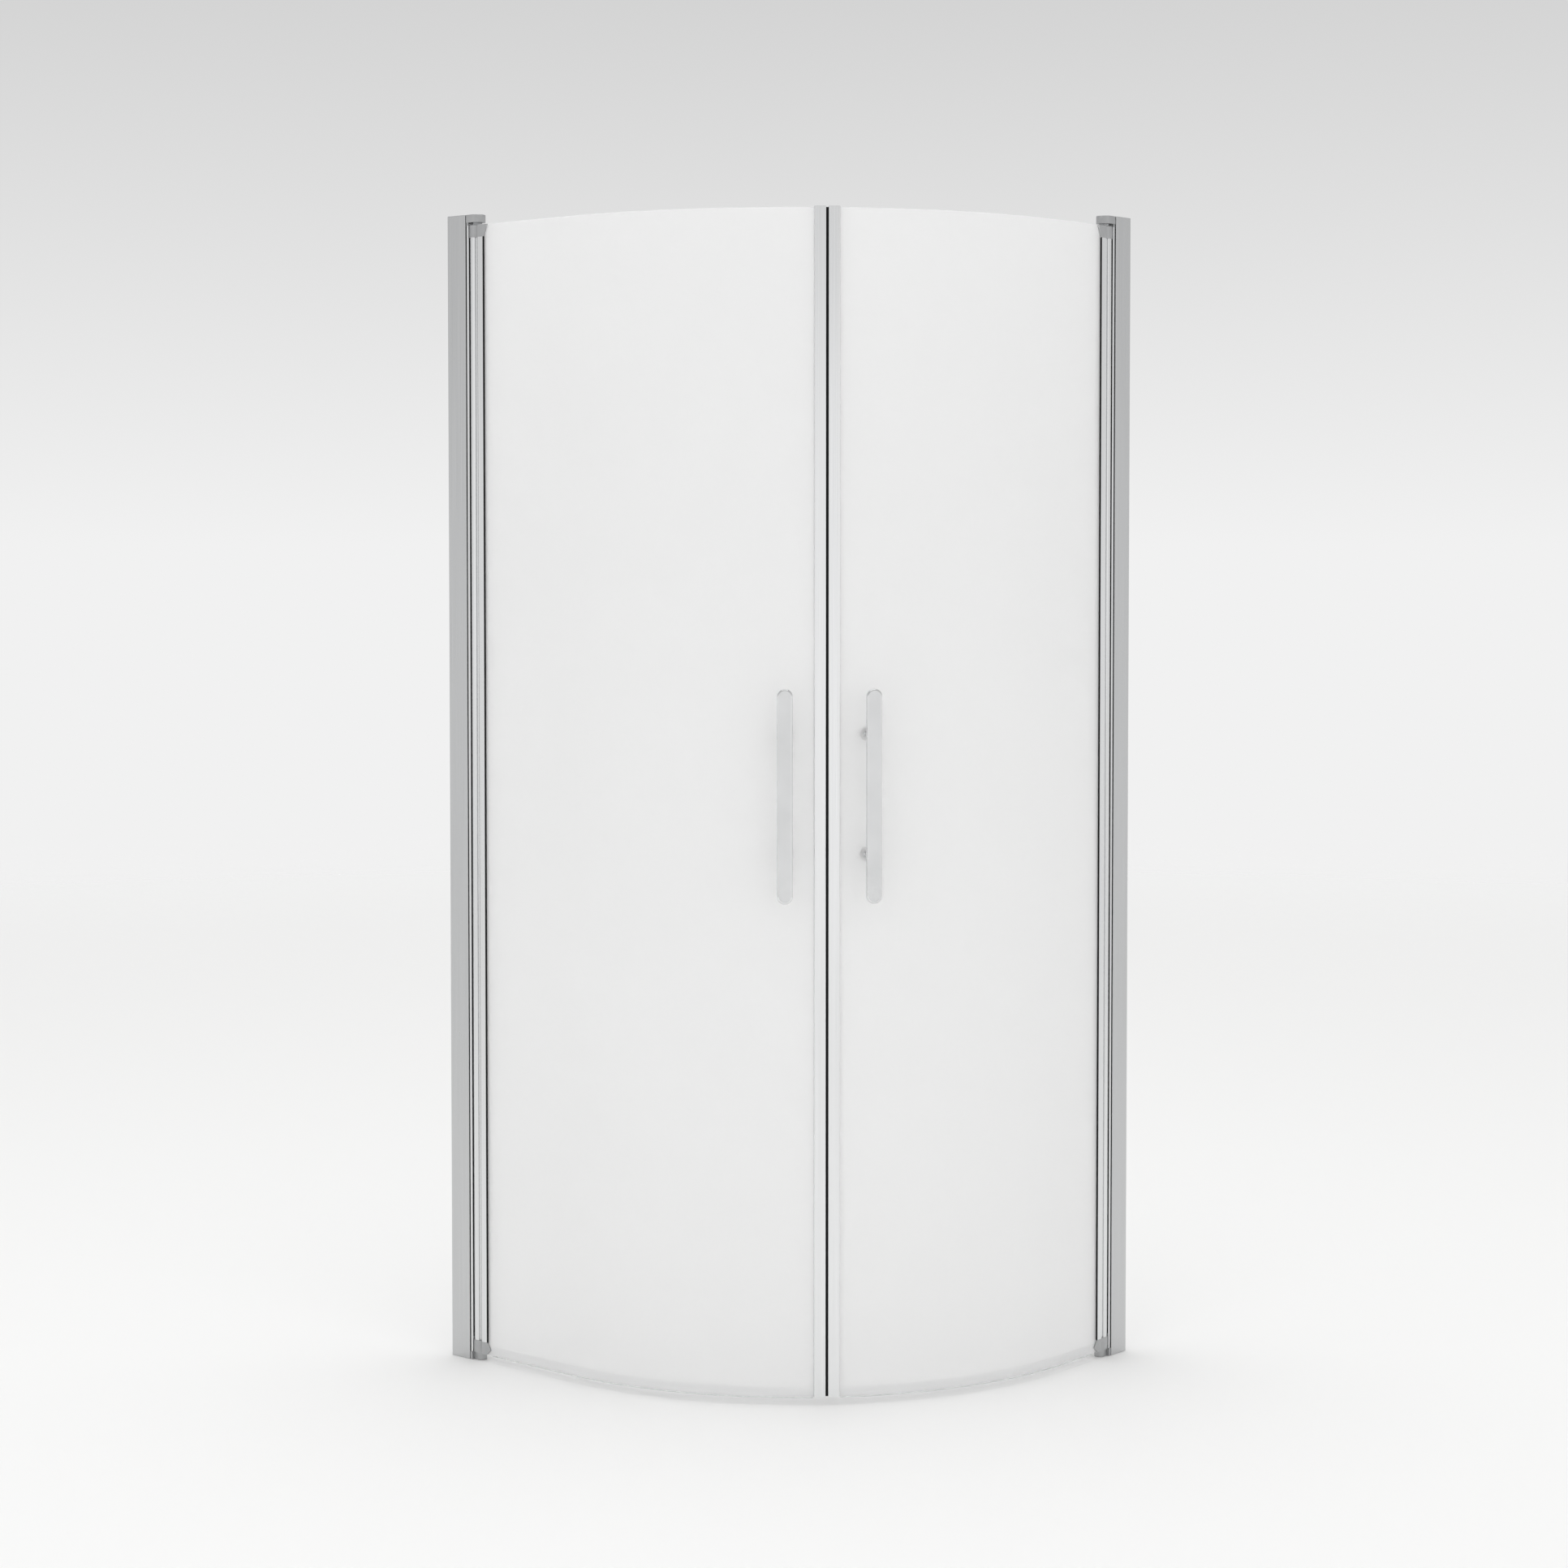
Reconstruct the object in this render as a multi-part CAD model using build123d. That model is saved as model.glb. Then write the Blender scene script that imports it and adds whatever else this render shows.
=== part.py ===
from build123d import *
import os
from math import asin, cos, degrees, radians, sin

# Round shower enclosure: two bent glass doors, each on a lifting pivot hinge, between two wall profiles.
# Every side is drawn in its own frame first: X is the distance from the wall, Y is the depth behind
# the front face of the wall profile, Z is up from the floor. The left side is then shifted into
# place and the right side is mirrored across the bisector of the corner.

# overall
total_height = 2000.0
left_straight = 287.0       # wall to the start of the bend, which makes the longer side 890
right_straight = 192.0      # wall to the start of the bend, which makes the shorter side 795
door_lift = 4.0             # how far a door rises while it swings open
running_fit = 0.05          # radial play of a pin or a screw
loose_fit = 0.3             # play of pieces that slide into each other
overrun = 5.0               # how far a cut runs past the face that it opens

# glass
glass_radius = 600.0        # outer face of the bent stretch
glass_thickness = 6.0
glass_recess = 3.0          # outer face of the glass behind the front of the profiles
glass_top_drop = 18.0
glass_bottom = 14.0
meeting_angle = 45.0        # each door ends halfway round the quarter bend

# wall profile, an open channel screwed to the wall
channel_depth = 44.5
channel_width = 30.0
channel_wall = 1.8
channel_corner = 1.5
channel_lip_round = 0.8
wall_hole_radius = 3.0
wall_hole_count = 4
wall_hole_end = 160.0       # floor to the lowest hole, and top to the highest
cover_thickness = 1.5
cover_plug_depth = 6.0

# hinge post, a box that telescopes in the channel
post_back = 12.0
post_front = 50.0
post_wall = 2.4
post_recess_radius = 15.1   # hollow front that the door's barrel turns in
post_top_drop = 18.6
post_side_play = 0.5
post_corner = 0.8
post_groove_start = 38.0    # shallow groove that sets the post's front rib off from the channel
post_groove_end = 46.1
post_groove_depth = 0.6

# pivot line and the two arms that carry it
pivot_reach = 60.0
pivot_depth = 15.0
arm_thickness = 13.6
arm_gap = 0.4               # arm to the end of the channel
arm_width = 28.0
arm_edge = 1.0
arm_root_height = 5.0       # leg of the upper arm inside its plate and behind it in the channel
foot_radius = 9.0           # round end of the lower arm
spigot_length = 20.0
lift_gap = 5.0              # door cap to the upper arm
foot_seam = 0.8             # door cap to the lower arm

# pins, bushes and lifting cams
pin_radius = 4.0
bush_radius = 6.0
bush_floor = 2.0            # material left past a blind bush hole
bush_collar_radius = 8.0
collar_height = 3.8
pin_tip_gap = 0.6
top_pin_grip = 6.0          # pin inside the upper bush with the door down
pin_socket_depth = 26.0     # pin inside the door cap
cam_bore_radius = 4.4
cam_radius = 8.0
cam_middle_height = 6.4     # middle of the slanted face above the lower arm
cam_rise_share = 0.52       # rise of the slanted face either side of its middle, by the lift
cam_play = 0.15
cam_total_height = 13.4

# door profile, a round barrel with a clamp for the glass
barrel_radius = 13.2
barrel_bore = 9.0
flute_reach = 67.6          # groove in the front of the barrel, beside the clamp
flute_depth = 4.3
flute_radius = 2.3
neck_front = 7.2            # front of the neck between the barrel and the clamp
clamp_start = 74.5
clamp_reach = 86.7
clamp_front = 0.5
clamp_back = 13.5
clamp_corner = 0.6
glass_start = 77.0
slot_seat = 0.5             # bottom of the slot to the edge of the glass
gasket_thickness = 1.3
gasket_start = 1.0          # gasket behind the edge of the glass
outer_lip = 2.4
outer_lip_rise = 0.3
inner_lip = 2.4

# end caps of the door profile
cap_height = 21.0
cap_radius = 14.2
cap_shoulder = 2.5          # bevel round the far end of the barrel
cap_margin = 0.3            # cap outside the profile that it closes
cap_play = 0.2
cap_plug_radius = 8.8
cap_plug_length = 30.0
wing_waist = 88.6
top_wing_reach = 98.0
bottom_wing_reach = 96.5
bottom_wing_height = 12.5   # from the waist down to the tip of the lower wing

# hinge-side lip seal
side_seal_near = 5.4        # depth of its two edges in the hollow front of the post
side_seal_far = 11.0
side_seal_gap = 0.3

# meeting profiles and magnetic seals
strip_gap = 4.0             # between the two meeting profiles
strip_width = 19.5
strip_proud = 2.2
strip_inner_wall = 2.0
strip_glass_play = 0.3
strip_top_rise = 2.0        # above the glass
strip_bottom_drop = 1.0     # below the glass
strip_corner = 1.2
strip_channel_depth = 5.4
strip_channel_width = 5.6
strip_web = 1.8
magnet_gap = 0.16
magnet_play = 0.2
magnet_end_inset = 2.0

# bottom seal
seal_wall = 1.1
seal_play = 0.1
seal_clip_height = 16.0     # above the lower edge of the glass
seal_web = 1.4
seal_floor_gap = 0.8
seal_inner_lip_gap = 5.0
seal_start_gap = 3.0        # after the wing of the lower cap
seal_strip_gap = 1.0
seal_lip_end = 1.6          # end of the lip to the meeting line

# handles
handle_height = 1018.0
handle_from_meeting = 68.0
handle_length = 353.0
handle_width = 26.0
handle_thickness = 8.0
handle_edge = 3.2
handle_projection = 53.0    # glass to the front of the bar
post_spacing = 200.0
handle_post_radius = 6.0
washer_radius = 7.5
washer_thickness = 3.0
washer_edge = 0.8
washer_gap = 0.3            # a flat washer on the bent glass
handle_hole_radius = 5.5
sleeve_wall = 1.9
inner_cap_radius = 12.5
inner_cap_height = 6.0
inner_cap_edge = 1.0
inner_cap_wall = 1.5
handle_screw_radius = 3.0
handle_screw_grip = 18.0
handle_screw_head_radius = 5.0
handle_screw_head = 3.5

# small screws
small_screw_radius = 2.0
small_screw_grip = 8.0
small_head_radius = 3.8
small_head_height = 2.2
small_head_edge = 0.6
clamp_screw_count = 3
clamp_screw_reach = 28.0
clamp_screw_end = 240.0
arm_screw_spacing = 10.0

# sizes that follow
long_side = left_straight + glass_recess + glass_radius
short_side = right_straight + glass_recess + glass_radius
cap_top = total_height - arm_thickness - lift_gap
profile_top = cap_top - cap_height
cap_bottom = arm_thickness + foot_seam
profile_bottom = cap_bottom + cap_height
glass_top = total_height - glass_top_drop
post_top = total_height - post_top_drop
glass_back = glass_recess + glass_thickness
slot_front = glass_recess - gasket_thickness
slot_back = glass_back + gasket_thickness
post_near = channel_wall + post_side_play
post_far = channel_width - post_near
post_hollow_end = pivot_reach - post_recess_radius - post_wall
cap_front = clamp_front - cap_margin
cap_back = clamp_back + cap_margin
cap_reach = clamp_reach + cap_margin
cap_neck_front = neck_front - cap_margin
cap_nose_start = clamp_start - cap_margin
arm_near = (channel_width - arm_width) / 2
arm_far = channel_width - arm_near
arm_start = channel_depth + arm_gap
handle_angle = meeting_angle - degrees(handle_from_meeting / glass_radius)
strip_bottom = glass_bottom - strip_bottom_drop
strip_top = glass_top + strip_top_rise


def plan_rect(x0, x1, y0, y1):
    return Pos((x0 + x1) / 2, (y0 + y1) / 2) * Rectangle(x1 - x0, y1 - y0)


def pivot_disc(radius):
    return Pos(pivot_reach, pivot_depth) * Circle(radius)


def raised(section, z0, z1):
    return Pos(0, 0, z0) * extrude(section, z1 - z0)


def pivot_rod(radius, z0, z1):
    return raised(pivot_disc(radius), z0, z1)


def spaced(first, last, count):
    return [first + (last - first) * i / (count - 1) for i in range(count)]


def bend_centre(reach):
    return Vector(reach, glass_recess + glass_radius)


def bend_point(reach, radius, angle):
    turn = radians(angle)
    return bend_centre(reach) + Vector(radius * sin(turn), -radius * cos(turn))


def plan_band(reach, outer, inner, start, end_gap):
    # a strip that follows the glass: outer and inner are depths behind its outer face
    angle = meeting_angle - degrees(end_gap / glass_radius)
    outer_radius = glass_radius - outer
    inner_radius = glass_radius - inner
    front = glass_recess + outer
    back = glass_recess + inner
    centre = bend_centre(reach)
    edges = [
        Line((start, front), (reach, front)),
        CenterArc(centre, outer_radius, -90, angle),
        Line(bend_point(reach, outer_radius, angle), bend_point(reach, inner_radius, angle)),
        CenterArc(centre, inner_radius, -90, angle),
        Line((reach, back), (start, back)),
        Line((start, back), (start, front)),
    ]
    return Face(Wire(edges))


def meeting_plane(reach):
    # X runs from the meeting line towards the hinge, Y runs outwards, with its zero at the outer face
    turn = radians(meeting_angle)
    origin = bend_point(reach, glass_radius, meeting_angle)
    return Plane(origin=(origin.X, origin.Y, 0), x_dir=(-cos(turn), -sin(turn), 0), z_dir=(0, 0, 1))


def handle_plane(reach):
    # X runs up, Z runs outwards from the outer face of the glass
    turn = radians(handle_angle)
    origin = bend_point(reach, glass_radius, handle_angle)
    return Plane(
        origin=(origin.X, origin.Y, handle_height), x_dir=(0, 0, 1), z_dir=(sin(turn), -cos(turn), 0)
    )


def handle_rods(reach, radius, out0, out1):
    # two round bars through the handle's two fixing points
    rod = extrude(Circle(radius), out1 - out0)
    return [
        handle_plane(reach) * Pos(side * post_spacing / 2, 0, out0) * rod for side in (-1, 1)
    ]


def cross_rods(radius, x, heights, y0, y1):
    # round bars along Y, used for screws and for their holes
    rod = extrude(Circle(radius), y1 - y0)
    return [Pos(x, y1, z) * Rot(90, 0, 0) * rod for z in heights]


def softened(section, radius):
    return fillet(section.vertices(), radius)


def ring_edges(shape, radius, height_axis, last):
    # the round edge of one radius that lies furthest along an axis
    circles = shape.edges().filter_by(GeomType.CIRCLE)
    found = [edge for edge in circles if abs(edge.radius - radius) < running_fit]
    ordered = ShapeList(found).sort_by(height_axis)
    return ordered[-1] if last else ordered[0]


def clamp_screw_heights():
    return spaced(clamp_screw_end, total_height - clamp_screw_end, clamp_screw_count)


def arm_screw_heights():
    top = post_top - spigot_length / 2
    bottom = arm_thickness + spigot_length / 2
    offset = arm_screw_spacing / 2
    return [top + offset, top - offset, bottom + offset, bottom - offset]


def wall_profile(reach):
    outer = plan_rect(0, channel_depth, 0, channel_width)
    hollow = plan_rect(
        channel_wall, channel_depth + overrun, channel_wall, channel_width - channel_wall
    )
    section = fillet(outer.vertices().sort_by(Axis.X)[:2], channel_corner) - hollow
    section = fillet(section.vertices().sort_by(Axis.X)[-4:], channel_lip_round)
    body = raised(section, 0, total_height - cover_thickness)
    hole = extrude(Circle(wall_hole_radius), channel_wall + 2 * overrun)
    for z in spaced(wall_hole_end, total_height - wall_hole_end, wall_hole_count):
        body -= Pos(-overrun, channel_width / 2, z) * Rot(0, 90, 0) * hole
    for cut in cross_rods(
        small_screw_radius + running_fit,
        clamp_screw_reach,
        clamp_screw_heights() + arm_screw_heights(),
        channel_width - channel_wall - overrun,
        channel_width + overrun,
    ):
        body -= cut
    return body


def wall_profile_cover(reach):
    top = total_height
    plate_section = softened(plan_rect(0, channel_depth, 0, channel_width), channel_corner)
    plate = raised(plate_section, top - cover_thickness, top)
    inset = channel_wall + loose_fit
    plug_section = plan_rect(inset, channel_depth - inset, inset, channel_width - inset)
    plug = raised(plug_section, top - cover_thickness - cover_plug_depth, top - cover_thickness)
    return plate + plug


def post_sections():
    outer = softened(plan_rect(post_back, post_front, post_near, post_far), post_corner)
    hollow = plan_rect(
        post_back + post_wall, post_hollow_end, post_near + post_wall, post_far - post_wall
    )
    return outer - pivot_disc(post_recess_radius), hollow


def hinge_post(reach):
    outer, hollow = post_sections()
    outer -= plan_rect(
        post_groove_start, post_groove_end, post_near, post_near + post_groove_depth
    )
    body = raised(outer - hollow, arm_thickness, post_top)
    hole_radius = small_screw_radius + running_fit
    wall_start = post_far - post_wall - overrun
    wall_end = post_far + overrun
    heights = clamp_screw_heights() + arm_screw_heights()
    for cut in cross_rods(hole_radius, clamp_screw_reach, heights, wall_start, wall_end):
        body -= cut
    return body


def spigot(z0, z1):
    inset = post_wall + loose_fit
    section = plan_rect(
        post_back + inset, post_hollow_end - loose_fit, post_near + inset, post_far - inset
    )
    return raised(section, z0, z1)


def drill_arm(body):
    for cut in cross_rods(
        small_screw_radius + running_fit,
        clamp_screw_reach,
        arm_screw_heights(),
        post_far - post_wall - small_screw_grip - loose_fit,
        post_far + overrun,
    ):
        body -= cut
    return body


def top_arm(reach):
    section = plan_rect(arm_start, pivot_reach, arm_near, arm_far) + pivot_disc(arm_width / 2)
    underside = total_height - arm_thickness
    plate = raised(section, underside, total_height)
    plate = chamfer(plate.faces().sort_by(Axis.Z)[-1].edges(), arm_edge / 2)
    leg_section = plan_rect(post_back, post_front, post_near, post_far)
    leg_section -= pivot_disc(post_recess_radius)
    leg = raised(leg_section, post_top, underside + arm_root_height)
    body = plate + leg + spigot(post_top - spigot_length, post_top)
    body -= pivot_rod(bush_radius + running_fit, underside - overrun, total_height - bush_floor)
    return drill_arm(body)


def bottom_arm(reach):
    section = plan_rect(post_back, post_front, post_near, post_far) + pivot_disc(foot_radius)
    section += plan_rect(
        post_back, pivot_reach, pivot_depth - foot_radius, pivot_depth + foot_radius
    )
    section += plan_rect(arm_start, post_front, arm_near, arm_far)
    body = raised(section, 0, arm_thickness) + spigot(arm_thickness, arm_thickness + spigot_length)
    body -= pivot_rod(bush_radius + running_fit, bush_floor, arm_thickness + overrun)
    return drill_arm(body)


def top_bush(reach):
    underside = total_height - arm_thickness
    barrel = pivot_rod(bush_radius, underside, total_height - bush_floor - loose_fit)
    collar = pivot_rod(bush_collar_radius, underside - collar_height, underside)
    bore = pivot_rod(pin_radius + running_fit, underside - collar_height - overrun, total_height)
    return barrel + collar - bore


def bottom_bush(reach):
    barrel = pivot_rod(bush_radius, bush_floor, arm_thickness)
    return barrel - pivot_rod(pin_radius + running_fit, 0, arm_thickness + overrun)


def cam_plane(offset):
    # the slanted face rises towards the glass side of the hinge
    slope = asin(cam_rise_share * door_lift / cam_radius)
    middle = arm_thickness + cam_middle_height + offset
    return Plane(
        origin=(pivot_reach, pivot_depth, middle), x_dir=(cos(slope), 0, sin(slope)),
        z_dir=(-sin(slope), 0, cos(slope)),
    )


def cam_ring():
    ring = pivot_rod(cam_radius, arm_thickness, arm_thickness + cam_total_height)
    return ring - pivot_rod(cam_bore_radius, 0, arm_thickness + cam_total_height + overrun)


def fixed_cam(reach):
    return split(cam_ring(), bisect_by=cam_plane(0), keep=Keep.BOTTOM)


def door_cam(reach):
    return split(cam_ring(), bisect_by=cam_plane(cam_play), keep=Keep.TOP)


def side_seal(reach):
    ring = pivot_disc(post_recess_radius) - pivot_disc(barrel_radius + side_seal_gap)
    section = ring & plan_rect(post_back, pivot_reach, side_seal_near, side_seal_far)
    return raised(section, profile_bottom + door_lift + loose_fit, profile_top)


def screw_set(x, heights, seat, grip):
    # pan-head screws along Y with their heads seated on a face
    screws = cross_rods(small_screw_radius, x, heights, seat - grip, seat)
    heads = cross_rods(small_head_radius, x, heights, seat, seat + small_head_height)
    whole = []
    for shank, head in zip(screws, heads):
        head = fillet(ring_edges(head, small_head_radius, Axis.Y, True), small_head_edge)
        whole.append(head + shank)
    return Compound(children=whole)


def clamp_screws(reach):
    grip = channel_wall + post_side_play + post_wall + loose_fit
    return screw_set(clamp_screw_reach, clamp_screw_heights(), channel_width, grip)


def arm_screws(reach):
    grip = channel_width - post_far + post_wall + small_screw_grip
    return screw_set(clamp_screw_reach, arm_screw_heights(), channel_width, grip)


def top_pin(reach):
    underside = total_height - arm_thickness
    return pivot_rod(pin_radius, cap_top - pin_socket_depth, underside + top_pin_grip)


def bottom_pin(reach):
    return pivot_rod(pin_radius, bush_floor + pin_tip_gap, cap_bottom + pin_socket_depth)


def door_profile(reach):
    clamp = softened(plan_rect(clamp_start, clamp_reach, clamp_front, clamp_back), clamp_corner)
    neck = plan_rect(pivot_reach, glass_start - slot_seat, neck_front, clamp_back - clamp_corner)
    section = pivot_disc(barrel_radius) + neck + clamp
    section -= plan_rect(glass_start - slot_seat, clamp_reach + overrun, slot_front, slot_back)
    section -= pivot_disc(barrel_bore)
    section -= Pos(flute_reach, flute_depth) * Circle(flute_radius)
    return raised(section, profile_bottom, profile_top)


def cap_body(z0, z1):
    nose = softened(plan_rect(cap_nose_start, cap_reach, cap_front, cap_back), clamp_corner)
    neck = plan_rect(pivot_reach, glass_start - slot_seat, cap_neck_front, clamp_back)
    slot = plan_rect(
        glass_start - slot_seat, cap_reach + overrun, glass_recess - cap_play, glass_back + cap_play
    )
    return pivot_rod(cap_radius, z0, z1) + raised(neck + nose - slot, z0, z1)


def cap_wing(waist_z, flare_z, flare_reach, end_z):
    root = glass_start - slot_seat
    outline = [(root, waist_z), (wing_waist, waist_z), (flare_reach, flare_z)]
    if end_z != flare_z:
        outline.append((clamp_reach, end_z))
    face = Plane.XZ * make_face(Polyline(*outline, (root, end_z), close=True))
    back = glass_recess - cap_play
    return Pos(0, back, 0) * extrude(face, back - cap_front)


def top_cap(reach):
    body = cap_body(profile_top, cap_top)
    body = chamfer(ring_edges(body, cap_radius, Axis.Z, True), cap_shoulder)
    body += cap_wing(profile_top, cap_top, top_wing_reach, cap_top)
    body += pivot_rod(cap_plug_radius, profile_top - cap_plug_length, profile_top)
    body -= pivot_rod(bush_collar_radius + loose_fit, cap_top - collar_height, cap_top + overrun)
    body -= pivot_rod(
        pin_radius + running_fit, cap_top - pin_socket_depth - loose_fit, cap_top + overrun
    )
    return body


def bottom_cap(reach):
    body = cap_body(cap_bottom, profile_bottom)
    tip = profile_bottom - bottom_wing_height
    body += cap_wing(profile_bottom, tip, bottom_wing_reach, cap_bottom)
    body += pivot_rod(cap_plug_radius, profile_bottom, profile_bottom + cap_plug_length)
    body -= pivot_rod(
        cam_radius + running_fit, cap_bottom - overrun, arm_thickness + cam_total_height
    )
    body -= pivot_rod(
        pin_radius + running_fit, cap_bottom, cap_bottom + pin_socket_depth + loose_fit
    )
    return body


def glass(reach):
    end_gap = strip_gap / 2 + strip_channel_depth + strip_web + slot_seat
    pane = raised(
        plan_band(reach, 0, glass_thickness, glass_start, end_gap), glass_bottom, glass_top
    )
    for hole in handle_rods(
        reach, handle_hole_radius, -glass_thickness - overrun, overrun
    ):
        pane -= hole
    return pane


def outer_gasket(reach):
    front = plan_rect(glass_start + gasket_start, clamp_reach, slot_front, glass_recess)
    lip = plan_rect(
        clamp_reach, clamp_reach + outer_lip, slot_front - outer_lip_rise, glass_recess
    )
    return raised(front + lip, profile_bottom, profile_top)


def inner_gasket(reach):
    back = plan_rect(glass_start + gasket_start, clamp_reach, glass_back, slot_back)
    lip = plan_rect(
        clamp_reach, clamp_reach + inner_lip, glass_back, slot_back + outer_lip_rise
    )
    return raised(back + lip, profile_bottom, profile_top)


def on_meeting_line(reach, section, z0, z1):
    return extrude(meeting_plane(reach) * Pos(0, 0, z0) * section, z1 - z0)


def meeting_profile(reach):
    near = strip_gap / 2
    far = near + strip_width
    back = -glass_thickness - strip_glass_play * 2 - strip_inner_wall
    section = softened(plan_rect(near, far, back, strip_proud), strip_corner)
    slot_start = near + strip_channel_depth + strip_web
    section -= plan_rect(
        slot_start, far + overrun, -glass_thickness - strip_glass_play * 2, strip_glass_play / 2
    )
    middle = -glass_thickness / 2
    half = strip_channel_width / 2
    section -= plan_rect(near - overrun, near + strip_channel_depth, middle - half, middle + half)
    return on_meeting_line(reach, section, strip_bottom, strip_top)


def magnet_seal(reach):
    near = strip_gap / 2
    half = strip_channel_width / 2 - magnet_play
    middle = -glass_thickness / 2
    section = plan_rect(
        magnet_gap / 2, near + strip_channel_depth - magnet_play, middle - half, middle + half
    )
    return on_meeting_line(
        reach, section, strip_bottom + magnet_end_inset, strip_top - magnet_end_inset
    )


def bottom_seal(reach):
    start = bottom_wing_reach + seal_start_gap
    clip_end = strip_gap / 2 + strip_width + seal_strip_gap
    web_top = glass_bottom - seal_play
    web_bottom = web_top - seal_web
    clip_top = glass_bottom + seal_clip_height
    outer = -seal_play
    inner = glass_thickness + seal_play
    walls = [
        (outer - seal_wall, inner + seal_wall, clip_end, web_bottom, web_top),
        (outer - seal_wall, outer, clip_end, web_bottom, clip_top),
        (inner, inner + seal_wall, clip_end, web_bottom, clip_top),
        (0, seal_wall, seal_lip_end, seal_floor_gap, web_bottom),
        (inner - seal_wall, inner, clip_end, seal_inner_lip_gap, web_bottom),
    ]
    bands = [
        raised(plan_band(reach, front, back, start, end_gap), z0, z1)
        for front, back, end_gap, z0, z1 in walls
    ]
    return bands[0].fuse(*bands[1:])


def handle_bar(reach):
    bar = extrude(SlotOverall(handle_length, handle_width), handle_thickness)
    bar = fillet(bar.faces().sort_by(Axis.Z)[-1].edges(), handle_edge)
    return handle_plane(reach) * Pos(0, 0, handle_projection - handle_thickness) * bar


def handle_posts(reach):
    start = washer_gap + washer_thickness
    end = handle_projection - handle_thickness
    posts = handle_rods(reach, handle_post_radius, start, end)
    bores = handle_rods(
        reach, handle_screw_radius + running_fit, start - overrun, start + handle_screw_grip
    )
    return Compound(children=[post - bore for post, bore in zip(posts, bores)])


def handle_washers(reach):
    washer = extrude(Circle(washer_radius), washer_thickness)
    washer = fillet(ring_edges(washer, washer_radius, Axis.Z, True), washer_edge)
    washer -= extrude(Circle(handle_screw_radius + running_fit), washer_thickness)
    frame = handle_plane(reach)
    return Compound(
        children=[
            frame * Pos(side * post_spacing / 2, 0, washer_gap) * washer for side in (-1, 1)
        ]
    )


def handle_sleeves(reach):
    outer = handle_rods(reach, handle_hole_radius - running_fit, -glass_thickness, 0)
    bore_radius = handle_hole_radius - sleeve_wall
    bores = handle_rods(reach, bore_radius, -glass_thickness - overrun, overrun)
    return Compound(children=[a - b for a, b in zip(outer, bores)])


def handle_inner_caps(reach):
    seat = -glass_thickness - washer_gap
    cap = extrude(Circle(inner_cap_radius), inner_cap_height)
    cap = fillet(ring_edges(cap, inner_cap_radius, Axis.Z, False), inner_cap_edge)
    bore = Pos(0, 0, inner_cap_wall) * extrude(
        Circle(handle_screw_radius + running_fit), inner_cap_height
    )
    pocket = Pos(0, 0, inner_cap_wall) * extrude(
        Circle(handle_screw_head_radius + running_fit), handle_screw_head + loose_fit
    )
    cap = cap - bore - pocket
    frame = handle_plane(reach)
    return Compound(
        children=[
            frame * Pos(side * post_spacing / 2, 0, seat - inner_cap_height) * cap
            for side in (-1, 1)
        ]
    )


def handle_screws(reach):
    seat = -glass_thickness - washer_gap - inner_cap_height + inner_cap_wall + handle_screw_head
    tip = washer_gap + washer_thickness + handle_screw_grip - loose_fit
    shanks = handle_rods(reach, handle_screw_radius, seat, tip)
    heads = handle_rods(reach, handle_screw_head_radius, seat - handle_screw_head + running_fit, seat)
    return Compound(children=[a + b for a, b in zip(shanks, heads)])


pieces = {
    "wall_profile": wall_profile,
    "wall_profile_cover": wall_profile_cover,
    "hinge_post": hinge_post,
    "top_arm": top_arm,
    "bottom_arm": bottom_arm,
    "top_bush": top_bush,
    "bottom_bush": bottom_bush,
    "fixed_cam": fixed_cam,
    "side_seal": side_seal,
    "clamp_screws": clamp_screws,
    "arm_screws": arm_screws,
    "top_pin": top_pin,
    "bottom_pin": bottom_pin,
    "door_profile": door_profile,
    "top_cap": top_cap,
    "bottom_cap": bottom_cap,
    "door_cam": door_cam,
    "glass": glass,
    "outer_gasket": outer_gasket,
    "inner_gasket": inner_gasket,
    "meeting_profile": meeting_profile,
    "magnet_seal": magnet_seal,
    "bottom_seal": bottom_seal,
    "handle_bar": handle_bar,
    "handle_posts": handle_posts,
    "handle_washers": handle_washers,
    "handle_sleeves": handle_sleeves,
    "handle_inner_caps": handle_inner_caps,
    "handle_screws": handle_screws,
}

# the two bends share one centre
reaches = {"left": left_straight, "right": right_straight}


def placed(side, shape):
    # the origin of the whole is on the floor, in the middle of its plan
    if side == "left":
        return Pos(-long_side / 2, -short_side / 2, 0) * shape
    mirrored = mirror(shape, about=Plane(origin=(0, 0, 0), z_dir=(1, 1, 0)))
    return Pos(long_side / 2, short_side / 2, 0) * mirrored


os.makedirs("parts", exist_ok=True)
for side, reach in reaches.items():
    for name, maker in pieces.items():
        export_step(placed(side, maker(reach)), f"parts/{side}_{name}.step")
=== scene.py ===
import bmesh
import bpy
from math import atan2, degrees, radians, sqrt
from mathutils import Matrix, Vector


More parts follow.
